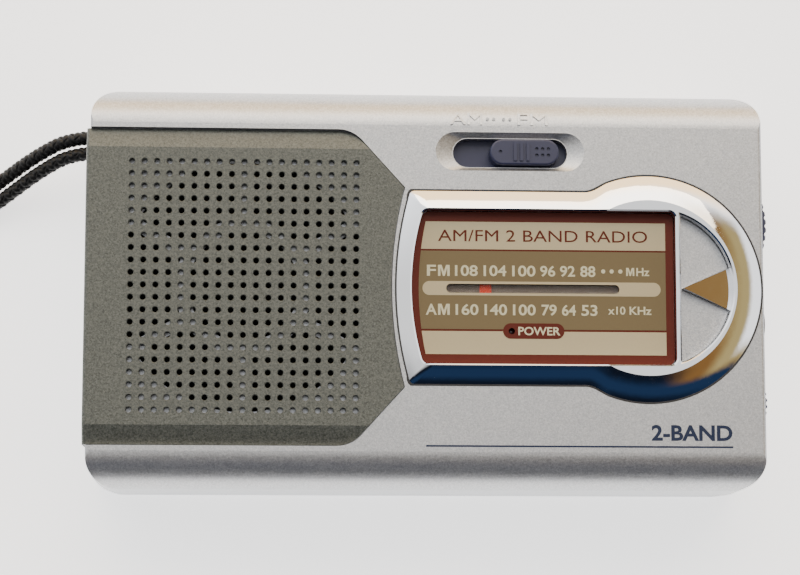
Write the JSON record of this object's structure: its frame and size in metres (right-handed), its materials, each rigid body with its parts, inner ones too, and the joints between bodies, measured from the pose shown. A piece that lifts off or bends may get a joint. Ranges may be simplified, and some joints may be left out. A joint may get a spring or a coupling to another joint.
{
  "type": "transistor pocket radio",
  "caption": "Flat pocket AM/FM radio with a perforated speaker panel, a chrome-framed slide-rule dial, a band switch, edge thumbwheels, a folding aerial and a cord wrist strap.",
  "frame": {"origin": "centre of the back face, which the radio lies on", "axes": "+Z out of the front face; +X along the case towards the thumbwheels; +Y towards the top edge, where the aerial folds"},
  "size_m": [0.1754, 0.0927, 0.0286],
  "materials": {
    "silver_case": "silver metallic paint on moulded plastic",
    "grille_paint": "olive-grey metallic paint",
    "chrome": "mirror chrome plate on plastic",
    "dial_print": "printed plastic, brown frame and khaki scale",
    "clear_plastic": "clear plastic",
    "backing": "matt dark brown",
    "pointer_red": "glossy orange-red",
    "dark_plastic": "satin purple-navy",
    "black_plastic": "satin black",
    "steel": "plated steel",
    "bright_metal": "polished plated brass tube",
    "brass": "turned",
    "board": "brown phenolic board",
    "ferrite": "dark grey sintered",
    "copper_wire": "enamelled copper",
    "paper_cone": "black pulp",
    "magnet": "grey ferrite",
    "white_plastic": "natural white",
    "lamp": "clear red",
    "cell_jacket": "printed sleeve, plain dark with a copper band",
    "cap_sleeve": "navy sleeve",
    "wire_sleeve": "PVC sleeve",
    "strap_cord": "black braided nylon",
    "cord_thread": "twisted nylon"
  },
  "bodies": {
    "case": {"front_case": "silver_case", "rear_case": "silver_case", "speaker_grille": "grille_paint", "dial_bezel": "chrome", "dial_plate": "dial_print", "dial_window": "clear_plastic", "dial_backing": "backing", "pointer_rail": "steel", "dial_cord": "cord_thread", "pulley_pin": "steel", "tuning_capacitor": "white_plastic", "volume_pot": "black_plastic", "circuit_board": "board", "band_switch_body": "steel", "ferrite_rod": "ferrite", "antenna_coil": "copper_wire", "rod_holders": "white_plastic", "speaker_frame": "steel", "speaker_magnet": "magnet", "speaker_cone": "paper_cone", "speaker_dust_cap": "paper_cone", "speaker_clamps": "steel", "speaker_screws": "steel", "earphone_jack": "black_plastic", "power_led": "lamp", "if_cans": "steel", "radio_chip": "black_plastic", "capacitors": "cap_sleeve", "battery_cell_1": "cell_jacket", "battery_cell_2": "cell_jacket", "battery_contacts": "steel", "battery_springs": "steel", "aerial_screw": "steel", "aerial_lead": "wire_sleeve", "case_screws": "steel", "pcb_screws": "steel", "speaker_leads": "wire_sleeve", "battery_leads": "wire_sleeve", "wrist_strap": "strap_cord", "strap_crimp": "steel"},
    "battery_door": {"battery_door": "silver_case"},
    "tuning_wheel": {"tuning_wheel": "dark_plastic", "tuning_wheel_screw": "steel", "tuning_shaft": "brass"},
    "dial_pointer": {"dial_pointer": "pointer_red"},
    "cord_pulley": {"cord_pulley": "white_plastic"},
    "volume_wheel": {"volume_wheel": "dark_plastic", "volume_wheel_screw": "steel", "volume_shaft": "brass"},
    "band_switch": {"band_switch_knob": "dark_plastic"},
    "aerial_base": {"aerial_knuckle": "bright_metal", "aerial_section_1": "bright_metal"},
    "aerial_tube_2": {"aerial_section_2": "bright_metal"},
    "aerial_tube_3": {"aerial_section_3": "bright_metal"},
    "aerial_rod": {"aerial_section_4": "bright_metal", "aerial_tip": "bright_metal"}
  },
  "joints": [
    {"name": "tuning_turn", "type": "hinge", "parent": "case", "child": "tuning_wheel", "pos_m": [0.0457, 0.012, 0.0202], "axis": [0, 0, 1], "range_deg": [-36, 142]},
    {"name": "pointer_slide", "type": "slide", "parent": "case", "child": "dial_pointer", "axis": [1, 0, 0], "range_m": [-0.0056, 0.0217]},
    {"name": "pulley_turn", "type": "hinge", "parent": "case", "child": "cord_pulley", "pos_m": [-0.0012, 0.0075, 0.0228], "axis": [0, 0, 1], "range_deg": [-76, 296]},
    {"name": "volume_turn", "type": "hinge", "parent": "case", "child": "volume_wheel", "pos_m": [0.05075, -0.0192, 0.022], "axis": [0, 0, 1], "range_deg": [0, 290]},
    {"name": "band_slide", "type": "slide", "parent": "case", "child": "band_switch", "axis": [1, 0, 0], "range_m": [-0.0048, 0]},
    {"name": "door_slide", "type": "slide", "parent": "case", "child": "battery_door", "axis": [0, -1, 0], "range_m": [0, 0.034]},
    {"name": "aerial_swing", "type": "hinge", "parent": "case", "child": "aerial_base", "pos_m": [0.0495, 0.0314, 0.00475], "axis": [0, 0, 1], "range_deg": [-180, 0]},
    {"name": "aerial_pull_1", "type": "slide", "parent": "aerial_base", "child": "aerial_tube_2", "axis": [-1, 0, 0], "range_m": [0, 0.072]},
    {"name": "aerial_pull_2", "type": "slide", "parent": "aerial_tube_2", "child": "aerial_tube_3", "axis": [-1, 0, 0], "range_m": [0, 0.072]},
    {"name": "aerial_pull_3", "type": "slide", "parent": "aerial_tube_3", "child": "aerial_rod", "axis": [-1, 0, 0], "range_m": [0, 0.072]}
  ],
  "couplings": [
    {"joint": "pointer_slide", "follows": "tuning_turn", "m_per_rad": 0.0087},
    {"joint": "pulley_turn", "follows": "tuning_turn", "ratio": 2.0714}
  ]
}
